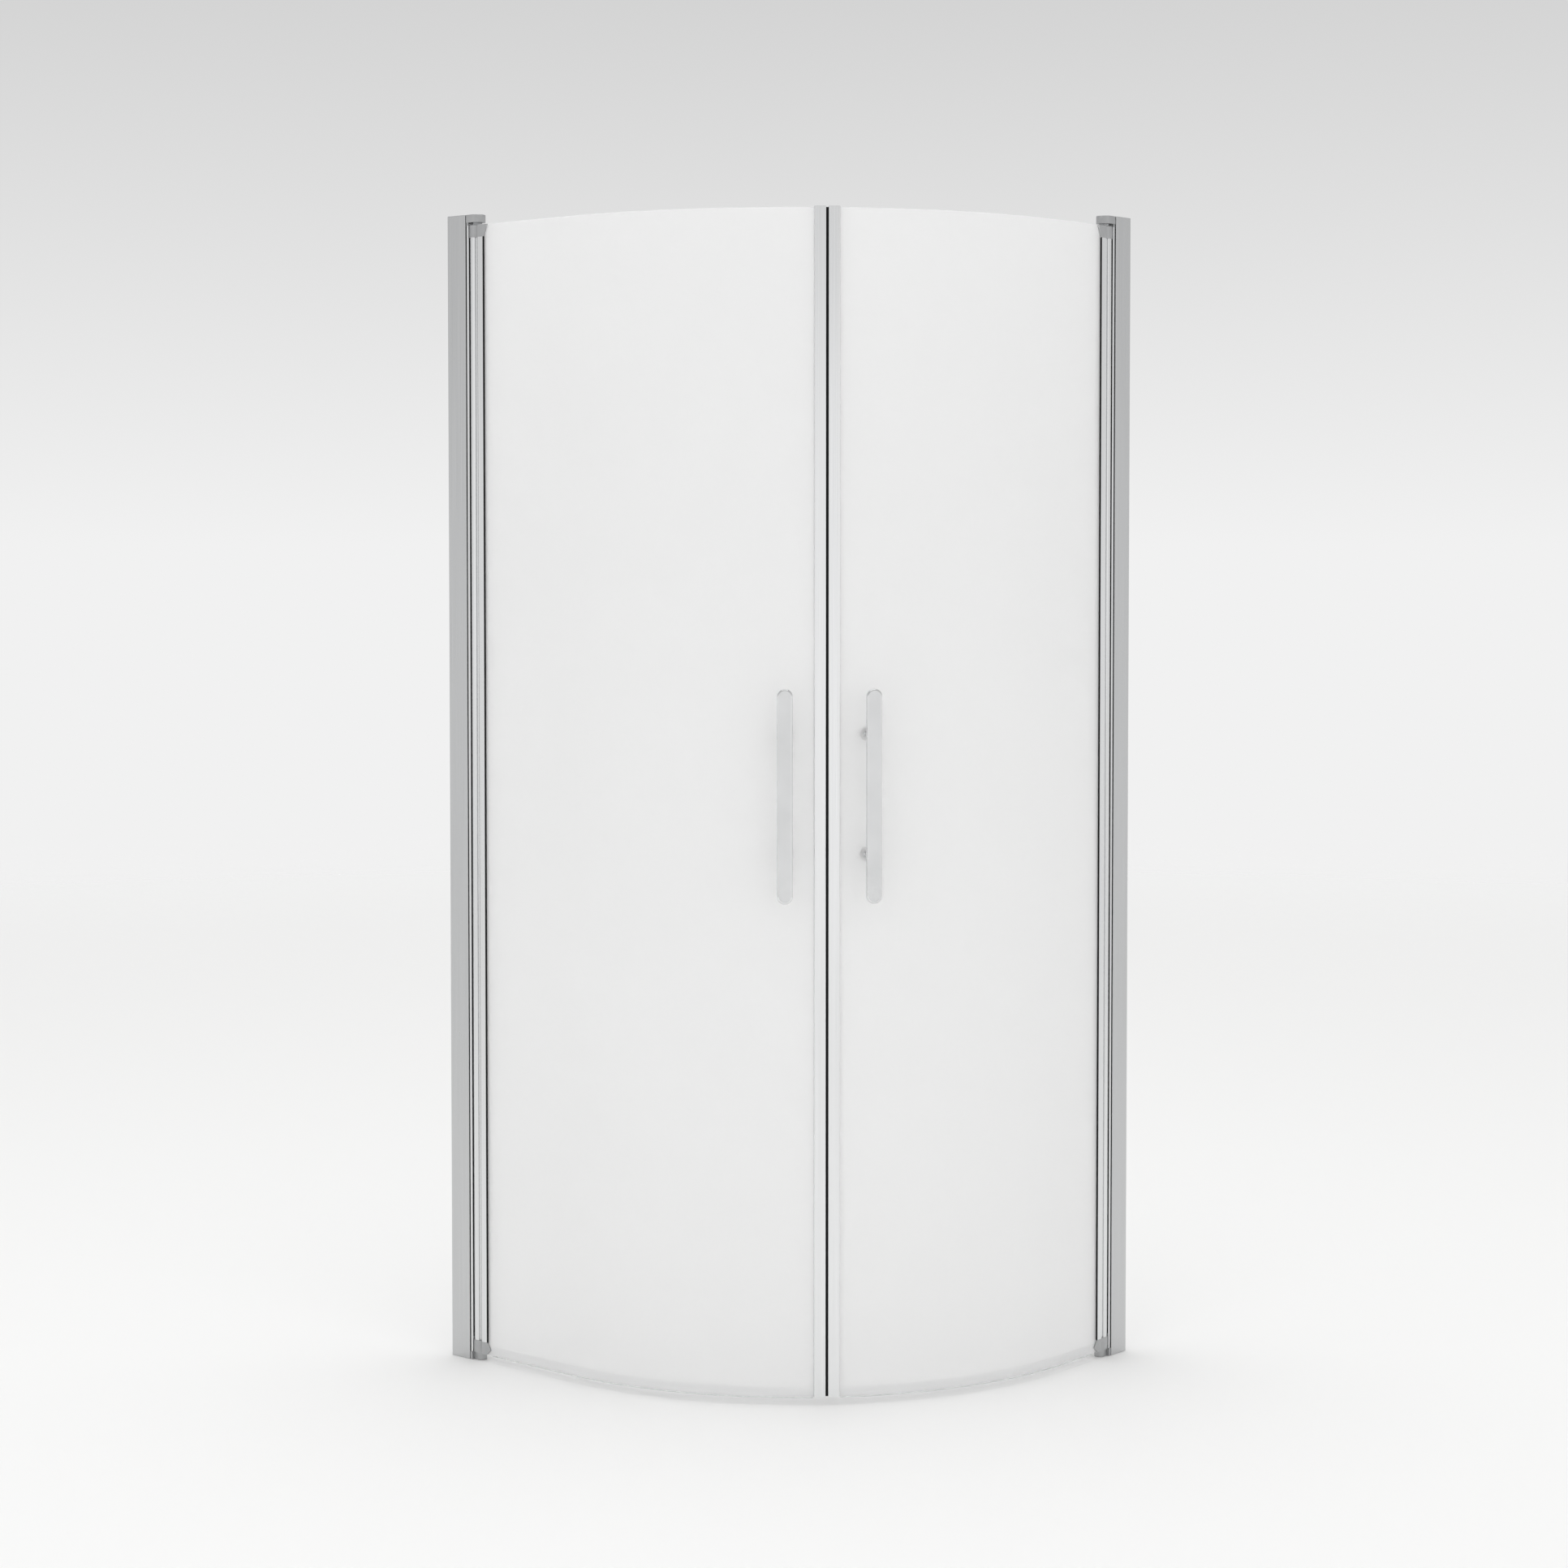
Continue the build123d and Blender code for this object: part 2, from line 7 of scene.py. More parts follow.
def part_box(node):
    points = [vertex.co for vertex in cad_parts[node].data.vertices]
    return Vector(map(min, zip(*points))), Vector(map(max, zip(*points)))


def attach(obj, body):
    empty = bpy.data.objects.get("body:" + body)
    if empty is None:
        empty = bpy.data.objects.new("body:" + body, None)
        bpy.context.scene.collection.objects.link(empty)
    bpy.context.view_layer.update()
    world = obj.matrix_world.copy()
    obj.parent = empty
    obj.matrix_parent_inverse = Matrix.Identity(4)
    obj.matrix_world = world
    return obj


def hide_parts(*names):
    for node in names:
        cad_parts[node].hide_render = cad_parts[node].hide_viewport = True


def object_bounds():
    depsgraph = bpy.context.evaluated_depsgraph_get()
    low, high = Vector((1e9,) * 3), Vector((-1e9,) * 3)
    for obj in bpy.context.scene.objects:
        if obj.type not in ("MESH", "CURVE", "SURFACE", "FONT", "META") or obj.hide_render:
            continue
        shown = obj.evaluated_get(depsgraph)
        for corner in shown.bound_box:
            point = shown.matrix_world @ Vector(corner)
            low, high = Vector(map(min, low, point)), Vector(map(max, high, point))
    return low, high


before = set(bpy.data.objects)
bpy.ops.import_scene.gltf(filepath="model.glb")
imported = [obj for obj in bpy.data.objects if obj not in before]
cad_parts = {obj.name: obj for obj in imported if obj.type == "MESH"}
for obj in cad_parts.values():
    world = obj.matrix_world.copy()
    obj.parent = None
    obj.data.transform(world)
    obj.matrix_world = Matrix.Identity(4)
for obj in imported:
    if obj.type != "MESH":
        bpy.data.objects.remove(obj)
frameLow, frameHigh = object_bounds()
scene = bpy.context.scene
sides = ("left", "right")

# the photograph's viewing angle
cameraSettings = {
    "place": (3.5457, -4.1773, 1.4292),
    "aim": (-0.648, 0.76052, -0.0414),
    "lens": 71.72,
    "sensor": 36.0,
    "shiftY": -0.0699,
    "clipEnd": 60.0,
}


def makeCamera(settings):
    data = bpy.data.cameras.new("photoCamera")
    data.lens = settings["lens"]
    data.sensor_width = settings["sensor"]
    data.shift_y = settings["shiftY"]
    data.clip_end = settings["clipEnd"]
    camera = bpy.data.objects.new("photoCamera", data)
    camera.location = settings["place"]
    camera.rotation_euler = Vector(settings["aim"]).to_track_quat("-Z", "Y").to_euler()
    scene.collection.objects.link(camera)
    scene.camera = camera


makeCamera(cameraSettings)
scene.view_settings.view_transform = "Standard"
print("camera ready")


# places are worked out in millimetres: X from the wall, Y back from the front of the wall
# profile, Z up
millimetre = 0.001
overrun = 3.0  # how far a cutting tool reaches past the piece that it cuts
overlap = 1.0  # how far a joined solid reaches into its neighbour
touch = 0.01  # points nearer than this are the same point
sharpEdge = 50  # degrees between two faces whose edge is rounded
noiseLow, noiseHigh = 0.3, 0.7  # a noise texture mostly stays between these values


def sideMatrix(side):
    low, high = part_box(side + "_wall_profile")
    if side == "left":
        return Matrix.Translation((low.x, low.y, 0)) @ Matrix.Scale(millimetre, 4)
    mirror = Matrix(((0, -1, 0, 0), (-1, 0, 0, 0), (0, 0, 1, 0), (0, 0, 0, 1)))
    return Matrix.Translation((high.x, high.y, 0)) @ mirror @ Matrix.Scale(millimetre, 4)


def nodeBox(side, name):
    back = sideMatrix(side).inverted()
    first, second = [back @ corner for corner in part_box(side + "_" + name)]
    return Vector(map(min, first, second)), Vector(map(max, first, second))


def nodeCentre(side, name):
    low, high = nodeBox(side, name)
    return (low + high) / 2


# the bent glass, which the seals and handles follow too
bendSettings = {"radius": 600.0, "recess": 3.0, "thickness": 6.0, "angle": 45.0, "steps": 60}


def bendCentre(side):
    span = frameHigh - frameLow
    length = (span.x if side == "left" else span.y) / millimetre
    depth = bendSettings["recess"] + bendSettings["radius"]
    return Vector((length - depth, depth, 0))


def bendFrame(side, angle, height=0.0):
    # X runs back along the glass towards the hinge, Y runs outwards from its outer face
    turn = Matrix.Rotation(radians(angle + 180), 4, "Z")
    middle = Matrix.Translation(bendCentre(side) + Vector((0, 0, height)))
    return middle @ turn @ Matrix.Translation((0, bendSettings["radius"], 0))


def handleFrame(side, angle, height):
    # X runs up, Z runs outwards from the outer face of the glass
    upright = Matrix(((0, 1, 0, 0), (0, 0, 1, 0), (1, 0, 0, 0), (0, 0, 0, 1)))
    return bendFrame(side, angle, height) @ upright


# mesh helpers
def drawLine(bm, corners, last=None):
    verts = [bm.verts.new((x, y, 0)) for x, y in corners]
    for first, second in zip([last] + verts if last else verts, verts if last else verts[1:]):
        bm.edges.new((first, second))
    return verts


def drawArc(bm, vert, centre, angle, steps):
    turned = bmesh.ops.spin(
        bm, geom=[vert], cent=(centre[0], centre[1], 0), axis=(0, 0, 1),
        angle=radians(angle), steps=steps, use_merge=False,
    )
    return [item for item in turned["geom_last"] if isinstance(item, bmesh.types.BMVert)][0]


def closeOutline(bm):
    bm.verts.ensure_lookup_table()
    ends = [vert for vert in bm.verts if len(vert.link_edges) == 1]
    if len(ends) == 2:
        if (ends[0].co - ends[1].co).length < touch:
            bmesh.ops.remove_doubles(bm, verts=ends, dist=touch)
        else:
            bm.edges.new(ends)
    bmesh.ops.contextual_create(bm, geom=bm.edges[:])


def roundCorners(bm, places, radius, segments=4):
    found = [
        vert for vert in bm.verts
        if any((vert.co.xy - Vector(place)).length < touch for place in places)
    ]
    bmesh.ops.bevel(
        bm, geom=found, offset=radius, offset_type="OFFSET", affect="VERTICES",
        segments=segments, profile=0.5, material=-1,
    )


def polygon(corners):
    bm = bmesh.new()
    drawLine(bm, corners)
    closeOutline(bm)
    return bm


def rectangle(x0, x1, y0, y1):
    return polygon([(x0, y0), (x1, y0), (x1, y1), (x0, y1)])


def disc(centre, radius, segments=64):
    bm = bmesh.new()
    bmesh.ops.create_circle(
        bm, cap_ends=True, radius=radius, segments=segments,
        matrix=Matrix.Translation((centre[0], centre[1], 0)),
    )
    return bm


def lift(bm, z0, z1):
    bmesh.ops.translate(bm, vec=(0, 0, z0), verts=bm.verts[:])
    raised = bmesh.ops.extrude_face_region(bm, geom=bm.faces[:])["geom"]
    moved = [item for item in raised if isinstance(item, bmesh.types.BMVert)]
    bmesh.ops.translate(bm, vec=(0, 0, z1 - z0), verts=moved)
    bmesh.ops.recalc_face_normals(bm, faces=bm.faces[:])
    return bm


def softenEnds(bm, heights, width, segments=2):
    # rounds the edges of the faces that lie flat at these heights
    edges = [
        edge for edge in bm.edges
        if any(all(abs(v.co.z - z) < touch for v in edge.verts) for z in heights)
        and len(edge.link_faces) == 2 and edge.calc_face_angle() > radians(sharpEdge)
    ]
    bmesh.ops.bevel(
        bm, geom=edges, offset=width, offset_type="OFFSET", affect="EDGES",
        segments=segments, profile=0.5, material=-1, clamp_overlap=True,
    )
    return bm


def turned(bm, matrix):
    bmesh.ops.transform(bm, matrix=matrix, verts=bm.verts[:])
    return bm


def meshFrom(bm, name):
    mesh = bpy.data.meshes.new(name)
    bmesh.ops.recalc_face_normals(bm, faces=bm.faces[:])
    bm.to_mesh(mesh)
    bm.free()
    return mesh


def joined(shells):
    whole = bmesh.new()
    for shell in shells:
        part = meshFrom(shell, "shell")
        whole.from_mesh(part)
        bpy.data.meshes.remove(part)
    return whole


def worked(bm, tools, operation):
    # joins other solids to a piece or cuts them out of it
    body = bpy.data.objects.new("body", meshFrom(bm, "body"))
    scene.collection.objects.link(body)
    for tool in tools:
        other = bpy.data.objects.new("tool", meshFrom(tool, "tool"))
        scene.collection.objects.link(other)
        step = body.modifiers.new("step", "BOOLEAN")
        step.operation = operation
        step.solver = "EXACT"
        step.object = other
        view = bpy.context.evaluated_depsgraph_get()
        result = bpy.data.meshes.new_from_object(body.evaluated_get(view))
        body.modifiers.clear()
        body.data = result
        bpy.data.objects.remove(other)
    made = bmesh.new()
    made.from_mesh(body.data)
    bpy.data.objects.remove(body)
    return made


def setDown(bm, side, name, body, material, replaced, crease=38):
    bmesh.ops.transform(bm, matrix=sideMatrix(side), verts=bm.verts[:])
    mesh = meshFrom(bm, side + name)
    mesh.polygons.foreach_set("use_smooth", [True] * len(mesh.polygons))
    mesh.set_sharp_from_angle(angle=radians(crease))
    mesh.materials.append(material)
    piece = bpy.data.objects.new(side + name, mesh)
    scene.collection.objects.link(piece)
    even = piece.modifiers.new("evenNormals", "WEIGHTED_NORMAL")
    even.keep_sharp = True
    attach(piece, body)
    if replaced:
        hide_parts(side + "_" + replaced)
    return piece


# materials
def newMaterial(name, settings):
    material = bpy.data.materials.new(name)
    material.use_nodes = True
    shader = material.node_tree.nodes["Principled BSDF"]
    for socket, value in settings.items():
        shader.inputs[socket].default_value = value
    return material, shader


def addNode(material, kind, **values):
    node = material.node_tree.nodes.new(kind)
    for name, value in values.items():
        if name in node.inputs:
            node.inputs[name].default_value = value
        else:
            setattr(node, name, value)
    return node


def link(material, output, socket):
    material.node_tree.links.new(output, socket)


def objectNoise(material, scale, stretch=(1, 1, 1), detail=3.0, roughness=0.5):
    place = addNode(material, "ShaderNodeTexCoord")
    mapping = addNode(material, "ShaderNodeMapping", Scale=stretch)
    noise = addNode(material, "ShaderNodeTexNoise", Scale=scale, Detail=detail, Roughness=roughness)
    link(material, place.outputs["Object"], mapping.inputs["Vector"])
    link(material, mapping.outputs["Vector"], noise.inputs["Vector"])
    return noise.outputs["Fac"]


def ranged(material, value, low, high):
    node = addNode(material, "ShaderNodeMapRange")
    node.inputs["From Min"].default_value = noiseLow
    node.inputs["From Max"].default_value = noiseHigh
    node.inputs["To Min"].default_value = low
    node.inputs["To Max"].default_value = high
    link(material, value, node.inputs["Value"])
    return node.outputs["Result"]


def tinted(material, value, dark, light):
    ramp = addNode(material, "ShaderNodeValToRGB")
    ramp.color_ramp.elements[0].position = noiseLow
    ramp.color_ramp.elements[0].color = (*dark, 1)
    ramp.color_ramp.elements[1].position = noiseHigh
    ramp.color_ramp.elements[1].color = (*light, 1)
    link(material, value, ramp.inputs["Fac"])
    return ramp.outputs["Color"]


def bumped(material, shader, value, strength, distance):
    bump = addNode(material, "ShaderNodeBump", Strength=strength, Distance=distance)
    link(material, value, bump.inputs["Height"])
    link(material, bump.outputs["Normal"], shader.inputs["Normal"])


# bright drawn aluminium, with faint lines along its length and wiped patches
aluminiumSettings = {
    "dark": (0.545, 0.55, 0.555), "light": (0.59, 0.595, 0.60), "roughness": (0.20, 0.28),
    "lineScale": 900.0, "lineStretch": (1, 1, 0.004), "patchScale": 5.0,
    "patchStretch": (1, 1, 0.5), "lineStrength": 0.03, "lineDepth": 0.0001,
}

# the hinge posts and door profiles are polished smoother than the wall profiles, and their base
# colour is painted lighter to stand in for the brighter light they catch
doorSettings = {
    **aluminiumSettings, "dark": (0.72, 0.725, 0.73), "light": (0.77, 0.775, 0.78),
    "roughness": (0.15, 0.22),
}
# and the meeting profiles get the lightest base colour, painted light for the bright light they
# catch
stripSettings = {**doorSettings, "dark": (0.80, 0.805, 0.81), "light": (0.85, 0.855, 0.86)}


def makeAluminium(name, settings):
    material, shader = newMaterial(name, {"Metallic": 1.0})
    lines = objectNoise(material, settings["lineScale"], settings["lineStretch"], detail=2.0)
    patches = objectNoise(material, settings["patchScale"], settings["patchStretch"], detail=4.0)
    link(material, tinted(material, lines, settings["dark"], settings["light"]),
         shader.inputs["Base Color"])
    link(material, ranged(material, patches, *settings["roughness"]), shader.inputs["Roughness"])
    bumped(material, shader, lines, settings["lineStrength"], settings["lineDepth"])
    return material


# satin plated castings
castSettings = {
    "dark": (0.44, 0.445, 0.45), "light": (0.50, 0.505, 0.51), "roughness": (0.42, 0.52),
    "grainScale": 900.0, "grainStrength": 0.06, "grainDepth": 0.0002, "patchScale": 40.0,
}


def makeCasting(settings):
    material, shader = newMaterial("satinCasting", {"Metallic": 1.0})
    grain = objectNoise(material, settings["grainScale"], detail=2.0)
    patches = objectNoise(material, settings["patchScale"], detail=4.0)
    link(material, tinted(material, patches, settings["dark"], settings["light"]),
         shader.inputs["Base Color"])
    link(material, ranged(material, patches, *settings["roughness"]), shader.inputs["Roughness"])
    bumped(material, shader, grain, settings["grainStrength"], settings["grainDepth"])
    return material


# polished plating with fine wiping marks
platingSettings = {
    "dark": (0.72, 0.725, 0.73), "light": (0.78, 0.785, 0.79), "roughness": (0.05, 0.12),
    "patchScale": 18.0, "markScale": 260.0, "markStretch": (1, 1, 0.06),
    "markStrength": 0.03, "markDepth": 0.0001,
}


def makePlating(settings):
    material, shader = newMaterial("polishedPlating", {"Metallic": 1.0})
    patches = objectNoise(material, settings["patchScale"], detail=4.0)
    marks = objectNoise(material, settings["markScale"], settings["markStretch"], detail=2.0)
    link(material, tinted(material, patches, settings["dark"], settings["light"]),
         shader.inputs["Base Color"])
    link(material, ranged(material, patches, *settings["roughness"]), shader.inputs["Roughness"])
    bumped(material, shader, marks, settings["markStrength"], settings["markDepth"])
    return material


# etched glass: light comes through, shapes do not
frostSettings = {
    "colour": (0.985, 0.985, 0.985, 1), "ior": 1.5, "roughness": (0.48, 0.54), "through": 0.5,
    "etchScale": 1400.0, "etchStrength": 0.12, "etchDepth": 0.0003, "patchScale": 3.0,
}


def makeFrost(settings):
    material, shader = newMaterial("etchedGlass", {
        "Base Color": settings["colour"], "Transmission Weight": settings["through"],
        "IOR": settings["ior"],
    })
    etch = objectNoise(material, settings["etchScale"], detail=2.0)
    patches = objectNoise(material, settings["patchScale"], detail=3.0)
    link(material, ranged(material, patches, *settings["roughness"]), shader.inputs["Roughness"])
    bumped(material, shader, etch, settings["etchStrength"], settings["etchDepth"])
    return material


# clear flexible strip, slightly drawn along its length
clearSettings = {
    "colour": (0.99, 0.995, 1.0, 1), "ior": 1.08, "roughness": (0.02, 0.05), "solid": 0.3,
    "drawScale": 500.0, "drawStretch": (1, 1, 0.05), "drawStrength": 0.05, "drawDepth": 0.0003,
}


def makeClear(settings):
    material, shader = newMaterial("clearStrip", {
        "Base Color": settings["colour"], "Transmission Weight": 1.0, "IOR": settings["ior"],
        "Alpha": settings["solid"],
    })
    draw = objectNoise(material, settings["drawScale"], settings["drawStretch"], detail=2.0)
    link(material, ranged(material, draw, *settings["roughness"]), shader.inputs["Roughness"])
    bumped(material, shader, draw, settings["drawStrength"], settings["drawDepth"])
    return material


# seals, and the plastic of the bushes and cam rings
rubberSettings = {
    "dark": (0.004, 0.004, 0.004), "light": (0.010, 0.010, 0.011), "roughness": (0.55, 0.7),
    "specular": 0.16,
    "grainScale": 1600.0, "grainStrength": 0.12, "grainDepth": 0.0002, "bloomScale": 90.0,
}
mouldedSettings = {
    "dark": (0.46, 0.47, 0.48), "light": (0.54, 0.55, 0.56), "roughness": (0.36, 0.48),
    "specular": 0.5,
    "grainScale": 1200.0, "grainStrength": 0.1, "grainDepth": 0.0002, "bloomScale": 120.0,
}
blackMouldedSettings = {
    "dark": (0.018, 0.018, 0.02), "light": (0.034, 0.034, 0.036), "roughness": (0.32, 0.44),
    "specular": 0.4,
    "grainScale": 1200.0, "grainStrength": 0.1, "grainDepth": 0.0002, "bloomScale": 120.0,
}


def makeGrained(name, settings):
    material, shader = newMaterial(name, {"Specular IOR Level": settings["specular"]})
    grain = objectNoise(material, settings["grainScale"], detail=2.0)
    bloom = objectNoise(material, settings["bloomScale"], detail=4.0)
    link(material, tinted(material, bloom, settings["dark"], settings["light"]),
         shader.inputs["Base Color"])
    link(material, ranged(material, bloom, *settings["roughness"]), shader.inputs["Roughness"])
    bumped(material, shader, grain, settings["grainStrength"], settings["grainDepth"])
    return material


# turned steel of the pins and screws
steelSettings = {
    "dark": (0.50, 0.50, 0.51), "light": (0.62, 0.62, 0.62), "roughness": (0.22, 0.36),
    "grainScale": 1500.0, "grainStretch": (1, 1, 0.1), "grainStrength": 0.08,
    "grainDepth": 0.0001, "patchScale": 150.0,
}


def makeSteel(settings):
    material, shader = newMaterial("screwSteel", {"Metallic": 1.0})
    grain = objectNoise(material, settings["grainScale"], settings["grainStretch"], detail=2.0)
    patches = objectNoise(material, settings["patchScale"], detail=3.0)
    link(material, tinted(material, patches, settings["dark"], settings["light"]),
         shader.inputs["Base Color"])
    link(material, ranged(material, patches, *settings["roughness"]), shader.inputs["Roughness"])
    bumped(material, shader, grain, settings["grainStrength"], settings["grainDepth"])
    return material


materials = {
    "silver_profile": makeAluminium("brightAluminium", aluminiumSettings),
    "doorProfile": makeAluminium("polishedAluminium", doorSettings),
    "meetingStrip": makeAluminium("brightStrip", stripSettings),
    "grey_cast": makeCasting(castSettings),
    "chrome": makePlating(platingSettings),
    "steel": makeSteel(steelSettings),
    "frosted_glass": makeFrost(frostSettings),
    "clear_seal": makeClear(clearSettings),
    "black_seal": makeGrained("blackRubber", rubberSettings),
    "grey_plastic": makeGrained("greyMoulding", mouldedSettings),
    "black_plastic": makeGrained("blackMoulding", blackMouldedSettings),
}
print("materials ready")


# wall profile: an open channel with rounded corners and screw holes
channelSettings = {
    "wall": 1.8, "corner": 1.5, "lip": 0.85, "holeRadius": 3.0,
    "holeHeights": (160, 720, 1280, 1840),
}


def makeWallProfile(side, settings):
    low, high = nodeBox(side, "wall_profile")
    wall = settings["wall"]
    depth, width = high.x, high.y
    bm = polygon([
        (0, 0), (depth, 0), (depth, wall), (wall, wall),
        (wall, width - wall), (depth, width - wall), (depth, width), (0, width),
    ])
    roundCorners(bm, [(0, 0), (0, width)], settings["corner"], segments=6)
    roundCorners(
        bm, [(depth, 0), (depth, wall), (depth, width - wall), (depth, width)],
        settings["lip"], segments=5,
    )
    lift(bm, low.z, high.z)
    holes = []
    for height in settings["holeHeights"]:
        hole = disc((0, 0), settings["holeRadius"], segments=32)
        lift(hole, -overrun, wall + overrun)
        place = Matrix.Translation((0, width / 2, height)) @ Matrix.Rotation(radians(90), 4, "Y")
        holes.append(turned(hole, place))
    bm = worked(bm, [joined(holes)], "DIFFERENCE")
    setDown(bm, side, "WallProfile", "wall_frame",
            materials["silver_profile"], "wall_profile")


coverSettings = {"corner": 1.5, "edge": 0.4, "plate": 1.5, "plugInset": 2.1}


def makeCover(side, settings):
    low, high = nodeBox(side, "wall_profile_cover")
    corners = [(0, 0), (high.x, 0), (high.x, high.y), (0, high.y)]
    plate = polygon(corners)
    roundCorners(plate, corners, settings["corner"], segments=6)
    lift(plate, high.z - settings["plate"], high.z)
    softenEnds(plate, [high.z], settings["edge"], segments=3)
    inset = settings["plugInset"]
    plug = rectangle(inset, high.x - inset, inset, high.y - inset)
    lift(plug, low.z, high.z - settings["plate"] / 2)
    bm = worked(plate, [plug], "UNION")
    setDown(bm, side, "ProfileCover", "wall_frame",
            materials["silver_profile"], "wall_profile_cover")


# hinge post: its hollow front is the bed that the door's barrel turns in
postSettings = {
    "recess": 15.1, "corner": 0.6, "wall": 2.4, "grooveStart": 38.0, "grooveEnd": 46.1,
    "grooveDepth": 0.6,
}


def postOutline(side, settings):
    low, high = nodeBox(side, "hinge_post")
    pivot = nodeCentre(side, "top_bush")
    radius = settings["recess"]
    across = sqrt(radius ** 2 - (high.x - pivot.x) ** 2)
    sweep = 2 * degrees(atan2(across, high.x - pivot.x)) - 360
    bm = bmesh.new()
    start = drawLine(bm, [(low.x, low.y), (high.x, low.y), (high.x, pivot.y - across)])[-1]
    end = drawArc(bm, start, pivot, sweep, steps=28)
    drawLine(bm, [(high.x, high.y), (low.x, high.y)], end)
    closeOutline(bm)
    corners = [(low.x, low.y), (high.x, low.y), (high.x, high.y), (low.x, high.y)]
    roundCorners(bm, corners, settings["corner"], segments=4)
    return bm


def makePost(side, settings):
    low, high = nodeBox(side, "hinge_post")
    bm = lift(postOutline(side, settings), low.z, high.z)
    wall = settings["wall"]
    hollowEnd = nodeCentre(side, "top_bush").x - settings["recess"] - wall
    hollow = rectangle(low.x + wall, hollowEnd, low.y + wall, high.y - wall)
    groove = rectangle(
        settings["grooveStart"], settings["grooveEnd"],
        low.y - overrun, low.y + settings["grooveDepth"],
    )
    for tool in (hollow, groove):
        lift(tool, low.z - overrun, high.z + overrun)
    bm = worked(bm, [joined([hollow, groove])], "DIFFERENCE")
    setDown(bm, side, "HingePost", "wall_frame",
            materials["doorProfile"], "hinge_post")


# arms: the plate reaches over the pivot, the leg stands on the post, the spigot sits in it
armSettings = {
    "plateHeight": 13.6, "plateStart": 44.9, "plateNear": 1.0, "noseRadius": 14.0,
    "footRadius": 9.0, "rootHeight": 5.0, "edge": 0.9, "corner": 1.2, "spigotInset": 2.7,
    "spigotReach": 42.2, "boreRadius": 6.05, "boreEnd": 2.0,
}


def spigot(side, settings, z0, z1):
    low, high = nodeBox(side, "hinge_post")
    inset = settings["spigotInset"]
    return lift(
        rectangle(low.x + inset, settings["spigotReach"], low.y + inset, high.y - inset), z0, z1
    )


def makeTopArm(side, settings):
    low, high = nodeBox(side, "top_arm")
    pivot = nodeCentre(side, "top_bush")
    postTop = nodeBox(side, "hinge_post")[1].z
    underside = high.z - settings["plateHeight"]
    near, far = pivot.y - settings["noseRadius"], pivot.y + settings["noseRadius"]
    plate = bmesh.new()
    start = drawLine(plate, [(settings["plateStart"], near), (pivot.x, near)])[-1]
    end = drawArc(plate, start, pivot, 180, steps=40)
    drawLine(plate, [(settings["plateStart"], far)], end)
    closeOutline(plate)
    root = [(settings["plateStart"], near), (settings["plateStart"], far)]
    roundCorners(plate, root, settings["corner"], segments=4)
    lift(plate, underside, high.z)
    softenEnds(plate, [high.z], settings["edge"], segments=3)
    softenEnds(plate, [underside], settings["edge"] / 2, segments=2)
    leg = lift(postOutline(side, postSettings), postTop, underside + settings["rootHeight"])
    bm = worked(plate, [leg, spigot(side, settings, low.z, postTop + overlap)], "UNION")
    bore = disc(pivot, settings["boreRadius"], segments=48)
    lift(bore, underside - overrun, high.z - settings["boreEnd"])
    bm = worked(bm, [bore], "DIFFERENCE")
    setDown(bm, side, "TopArm", "wall_frame", materials["grey_cast"], "top_arm")


def makeBottomArm(side, settings):
    high = nodeBox(side, "bottom_arm")[1]
    postLow, postHigh = nodeBox(side, "hinge_post")
    pivot = nodeCentre(side, "bottom_bush")
    start = settings["plateStart"]
    near, radius = settings["plateNear"], settings["footRadius"]
    nearLine = [
        (postLow.x, postLow.y), (start, postLow.y), (start, near), (postHigh.x, near),
        (postHigh.x, pivot.y - radius), (pivot.x, pivot.y - radius),
    ]
    foot = bmesh.new()
    turn = drawLine(foot, nearLine)[-1]
    end = drawArc(foot, turn, pivot, 180, steps=40)
    farLine = [(x, 2 * pivot.y - y) for x, y in reversed(nearLine[:-1])]
    drawLine(foot, farLine, end)
    closeOutline(foot)
    outer = [nearLine[3], farLine[1], nearLine[2], farLine[2]]
    roundCorners(foot, outer, settings["corner"] / 2, segments=4)
    top = settings["plateHeight"]
    lift(foot, 0, top)
    softenEnds(foot, [top], settings["edge"] / 2, segments=2)
    bm = worked(foot, [spigot(side, settings, top - overlap, high.z)], "UNION")
    bore = disc(pivot, settings["boreRadius"], segments=48)
    lift(bore, settings["boreEnd"], top + overrun)
    bm = worked(bm, [bore], "DIFFERENCE")
    setDown(bm, side, "BottomArm", "wall_frame", materials["grey_cast"], "bottom_arm")


# door profile: barrel, neck and glass clamp in one section, with the caps a little larger
clampSettings = {
    "barrel": 13.2, "bore": 9.0, "flute": (67.6, 4.3), "fluteRadius": 2.3, "neckFront": 7.2,
    "clampStart": 74.5, "clampEnd": 86.7, "front": 0.5, "back": 13.5, "neckBack": 12.9,
    "slotStart": 76.5, "slotFront": 1.7, "slotBack": 10.3, "corner": 0.7, "lip": 0.4,
    "margin": 0.3, "capRadius": 14.2, "capSlot": 0.2, "shoulder": 2.5,
    "wingWaist": 88.6, "wingHeight": 12.5, "wingCorner": 1.2, "wingEdge": 0.5,
    "collarRadius": 8.3, "collarDepth": 3.8, "plug": 8.8, "plugLength": 30.0,
    "pinBore": 4.05, "pinDepth": 26.3, "camRadius": 8.05,
}


